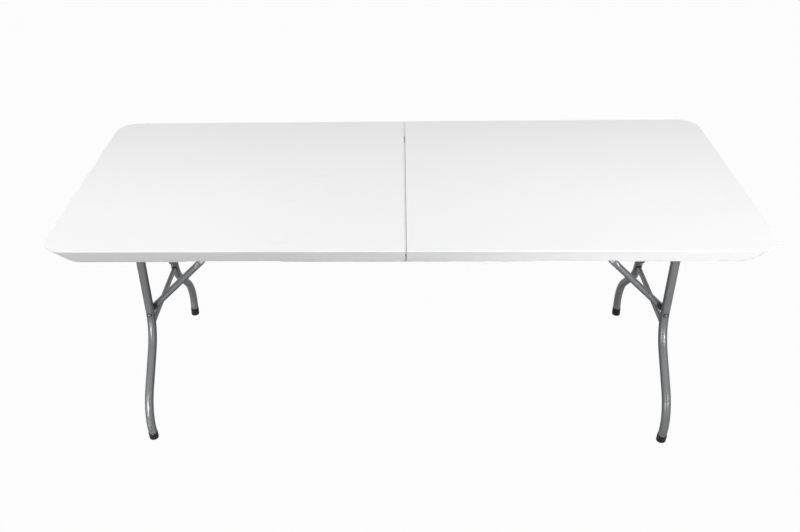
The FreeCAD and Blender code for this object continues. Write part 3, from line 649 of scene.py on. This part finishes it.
link_and_gap = 0.0053
pressed_half = 0.006
outer_side = brace_y + pressed_half
inner_side = brace_y - tube_half - link_and_gap
elbow = brace_foot + slope * arm_length
rivet_profile = [(0, -0.0046), (0.0030, -0.0046), (0.0030, -0.0002), (0.0060, -0.0001),
                 (0.0061, 0.0003), (0.0056, 0.0010), (0.0043, 0.0016), (0.0024, 0.0020),
                 (0, 0.0021)]
rivet = fastener("elbow_rivet", (rivet_profile, 32))
for side, sign in sides:
    for end, _ in ends:
        dress(grey_steel, f"{side}_{end}_brace_link", f"{side}_{end}_brace_anchor")
    dress(zinc_steel, f"{side}_anchor_pins")
    outer = [((sign * elbow.x, way * outer_side, elbow.z), (0, way, 0)) for _, way in ends]
    heads = set_fasteners(f"{side}_elbow_heads", rivet, outer, zinc_steel, seed=21)
    stands_for(heads, f"{side}_brace_arm", "zinc_steel", f"{side}_elbow_rivets")
    inner = [((sign * elbow.x, way * inner_side, elbow.z), (0, -way, 0)) for _, way in ends]
    tails = set_fasteners(f"{side}_elbow_tails", rivet, inner, zinc_steel, seed=22)
    stands_for(tails, f"{side}_brace_strap", "zinc_steel", f"{side}_elbow_rivet_tails")


# Carry handle. A black moulded bail in a notch of the rear skirt of one half: two arms that swing
# on a steel pin in their eyes, and a round grip with raised rings for the fingers.

handle_x = 0.457
handle_y = 0.357
handle_z = 0.688
grip_z = handle_z - 0.052
arm_at = 0.0495
bail_radius = 0.0052
bail_bend = 0.016
ring_count = 9
ring_pitch = 0.006
ring_start = handle_x - ring_pitch * (ring_count - 1) / 2

ring_recipe, given = new_recipe("grip_rings", ("Ring Radius", "Float"), ("Band Radius", "Float"),
                                ("Count", "Int"), ("Start", "Vector"), ("Pitch", "Vector"))
row = given["Geometry"].node("GeometryNodeMeshLine", {"mode": "OFFSET", "count_mode": "TOTAL"},
                             Count=given["Count"], Start_Location=given["Start"],
                             Offset=given["Pitch"])
loop = circle(row, given["Ring Radius"], 36)
band = circle(row, given["Band Radius"], 10)
hoop = row.node("GeometryNodeCurveToMesh", Curve=loop, Profile_Curve=band)
aim = row.node("FunctionNodeAlignRotationToVector", {"axis": "Z"}, Vector=given["Pitch"])
hoops = row.node("GeometryNodeInstanceOnPoints", Points=row, Instance=hoop, Rotation=aim)
end_recipe(hoops, given)

corners = [(handle_x - arm_at, handle_y, handle_z), (handle_x - arm_at, handle_y, grip_z)]
corners += [(handle_x + arm_at, handle_y, grip_z), (handle_x + arm_at, handle_y, handle_z)]
bail = tube("handle_bail", corners, bail_radius, bail_bend, black_plastic)
stands_for(bail, "carry_handle", "black_plastic", "carry_handle")
grip_profile = [(0, -0.0340), (0.0054, -0.0340), (0.0066, -0.0325), (0.0070, -0.0300), (0.0072, 0),
                (0.0070, 0.0300), (0.0066, 0.0325), (0.0054, 0.0340), (0, 0.0340)]
grip = fastener("handle_grip", (grip_profile, 36))
grip_places = [((handle_x, handle_y, grip_z), (1, 0, 0))]
sleeve = set_fasteners("handle_sleeve", grip, grip_places, black_plastic, seed=31)
stands_for(sleeve, "carry_handle", "black_plastic")
values = {"Ring Radius": 0.0068, "Band Radius": 0.0007, "Count": ring_count,
          "Start": (ring_start, handle_y, grip_z), "Pitch": (ring_pitch, 0, 0),
          "Finish": black_plastic}
rings = cook("handle_rings", bpy.data.meshes.new("handle_rings_start"), ring_recipe, values)
stands_for(rings, "carry_handle", "black_plastic")
eye_profile = [(0.0031, -0.0045), (0.0060, -0.0045), (0.0065, -0.0038), (0.0065, 0.0038),
               (0.0060, 0.0045), (0.0031, 0.0045), (0.0031, -0.0045)]
eye = fastener("handle_eye", (eye_profile, 36))
eye_places = [((handle_x + step * arm_at, handle_y, handle_z), (1, 0, 0)) for step in (-1, 1)]
eyes = set_fasteners("handle_eyes", eye, eye_places, black_plastic, seed=32)
stands_for(eyes, "carry_handle", "black_plastic")
dress(zinc_steel, "handle_pin")


# Studio. White all round, which the camera and the reflections see, while floor and world light the
# table only weakly. Soft lamps above, low in front and behind do the rest. The floor keeps a faint
# shadow, and under the table reflections see mostly its grey paper as it is lit there.

floor_reach = 20.0
floor_corners = [(-floor_reach, -floor_reach, 0), (floor_reach, -floor_reach, 0)]
floor_corners += [(floor_reach, floor_reach, 0), (-floor_reach, floor_reach, 0)]
pure_white = (1, 1, 1, 1)
paper_grey = (0.42, 0.42, 0.42, 1)
seen_white = 0.97
under_dimming = 0.85
fill_strength = 0.32


def ray_kinds(tree):
    """Masks for rays from the camera, and for rays off metal or through glass."""
    seen = tree.node("ShaderNodeLightPath", out="Is Camera Ray")
    mirrored = tree.node("ShaderNodeLightPath", out="Is Glossy Ray")
    return seen, mirrored + tree.node("ShaderNodeLightPath", out="Is Transmission Ray")


def within(place, edge, inside):
    """1 between -inside and inside, 0 beyond the edge on either side."""
    return place.above(-edge, -inside) * (1 - place.above(inside, edge))


floor_mesh = bpy.data.meshes.new("floor")
floor_mesh.from_pydata(floor_corners, [], [(0, 1, 2, 3)])
floor = place_piece("floor", floor_mesh)
paper = bpy.data.materials.new("floor_paper")
paper.use_nodes = True
paper.node_tree.nodes.clear()
tree = Field(paper.node_tree)
lit = tree.node("ShaderNodeBsdfDiffuse", Color=paper_grey)
glow = tree.node("ShaderNodeEmission", Color=pure_white, Strength=1.0)
seen, reflected = ray_kinds(tree)
ground = tree.node("ShaderNodeTexCoord", out="Object")
under = within(ground.along("X"), 0.95, 0.65) * within(ground.along("Y"), 0.45, 0.15)
white = seen_white * seen + reflected * (1 - under_dimming * under)
shown = tree.node("ShaderNodeMixShader", at_0=white, at_1=lit, at_2=glow)
from_below = tree.node("ShaderNodeNewGeometry", out="Backfacing")
clear = tree.node("ShaderNodeBsdfTransparent")
one_sided = tree.node("ShaderNodeMixShader", at_0=from_below, at_1=shown, at_2=clear)
tree.node("ShaderNodeOutputMaterial", Surface=one_sided)
floor_mesh.materials.append(paper)

world = bpy.data.worlds.new("studio")
bpy.context.scene.world = world
world.use_nodes = True
world.node_tree.nodes.clear()
tree = Field(world.node_tree)
seen, reflected = ray_kinds(tree)
fill = tree.node("ShaderNodeBackground", Color=pure_white, Strength=fill_strength)
white = tree.node("ShaderNodeBackground", Color=pure_white, Strength=1.0)
backdrop = tree.node("ShaderNodeMixShader", at_0=seen + reflected, at_1=fill, at_2=white)
tree.node("ShaderNodeOutputWorld", Surface=backdrop)


def softbox(name, place, target, size, power, spread=180):
    """A rectangular lamp in watts; a small spread in degrees stands for a grid in front of it."""
    light = bpy.data.lights.new(name, "AREA")
    light.shape = "RECTANGLE"
    light.size, light.size_y = size
    light.energy = power
    light.spread = math.radians(spread)
    lamp = bpy.data.objects.new(name, light)
    lamp.location = place
    lamp.rotation_euler = (Vector(target) - Vector(place)).to_track_quat("-Z", "Y").to_euler()
    lamp.visible_camera = False
    bpy.context.scene.collection.objects.link(lamp)


softbox("left_overhead", place=(-1.15, -0.50, 2.1), target=(-0.55, -0.05, 0.72),
        size=(1.9, 1.5), power=19.5)
softbox("right_overhead", place=(1.15, -0.50, 2.1), target=(0.55, -0.05, 0.72),
        size=(1.9, 1.5), power=19.5)
softbox("left_front", place=(-1.4, -2.6, 0.45), target=(-0.6, -0.2, 0.45),
        size=(0.80, 1.10), power=20)
softbox("right_front", place=(1.4, -2.6, 0.45), target=(0.6, -0.2, 0.45),
        size=(0.6, 0.6), power=0.8)
softbox("back_fill", place=(0.0, 3.2, 0.62), target=(0.0, 0.38, 0.62),
        size=(3.0, 0.8), power=9)
softbox("skirt_grid", place=(1.5, -2.0, 0.80), target=(0.70, -0.38, 0.74),
        size=(0.9, 0.25), power=2.7, spread=50)
softbox("leg_grid", place=(-1.25, -1.9, 0.16), target=(-0.77, -0.31, 0.08),
        size=(0.9, 0.30), power=0.8, spread=24)


# Camera. It stands in front of the table and above it, at the viewpoint that was solved from the
# photograph, with the lens shifted as the photograph is cropped.

focal_pixels = 815.796
photo_width = 800
shift_across_pixels = 29.674
shift_up_pixels = 20.0
sensor_width = 36.0
eye_point = Vector((-0.01678, -2.04951, 1.80896))
yaw, pitch, roll = -0.04336, 0.61996, 0.02583
forward = Vector((math.sin(yaw) * math.cos(pitch), math.cos(yaw) * math.cos(pitch),
                  -math.sin(pitch)))
level_right = Vector((math.cos(yaw), -math.sin(yaw), 0))
level_down = forward.cross(level_right)
right = math.cos(roll) * level_right + math.sin(roll) * level_down
down = math.cos(roll) * level_down - math.sin(roll) * level_right
lens = bpy.data.cameras.new("camera")
lens.sensor_fit = "HORIZONTAL"
lens.sensor_width = sensor_width
lens.lens = focal_pixels * sensor_width / photo_width
lens.shift_x = shift_across_pixels / photo_width
lens.shift_y = shift_up_pixels / photo_width
camera = bpy.data.objects.new("camera", lens)
facing = Matrix((right, -down, -forward)).transposed()
camera.matrix_world = Matrix.Translation(eye_point) @ facing.to_4x4()
bpy.context.scene.collection.objects.link(camera)
bpy.context.scene.camera = camera
bpy.context.scene.view_settings.view_transform = "Standard"
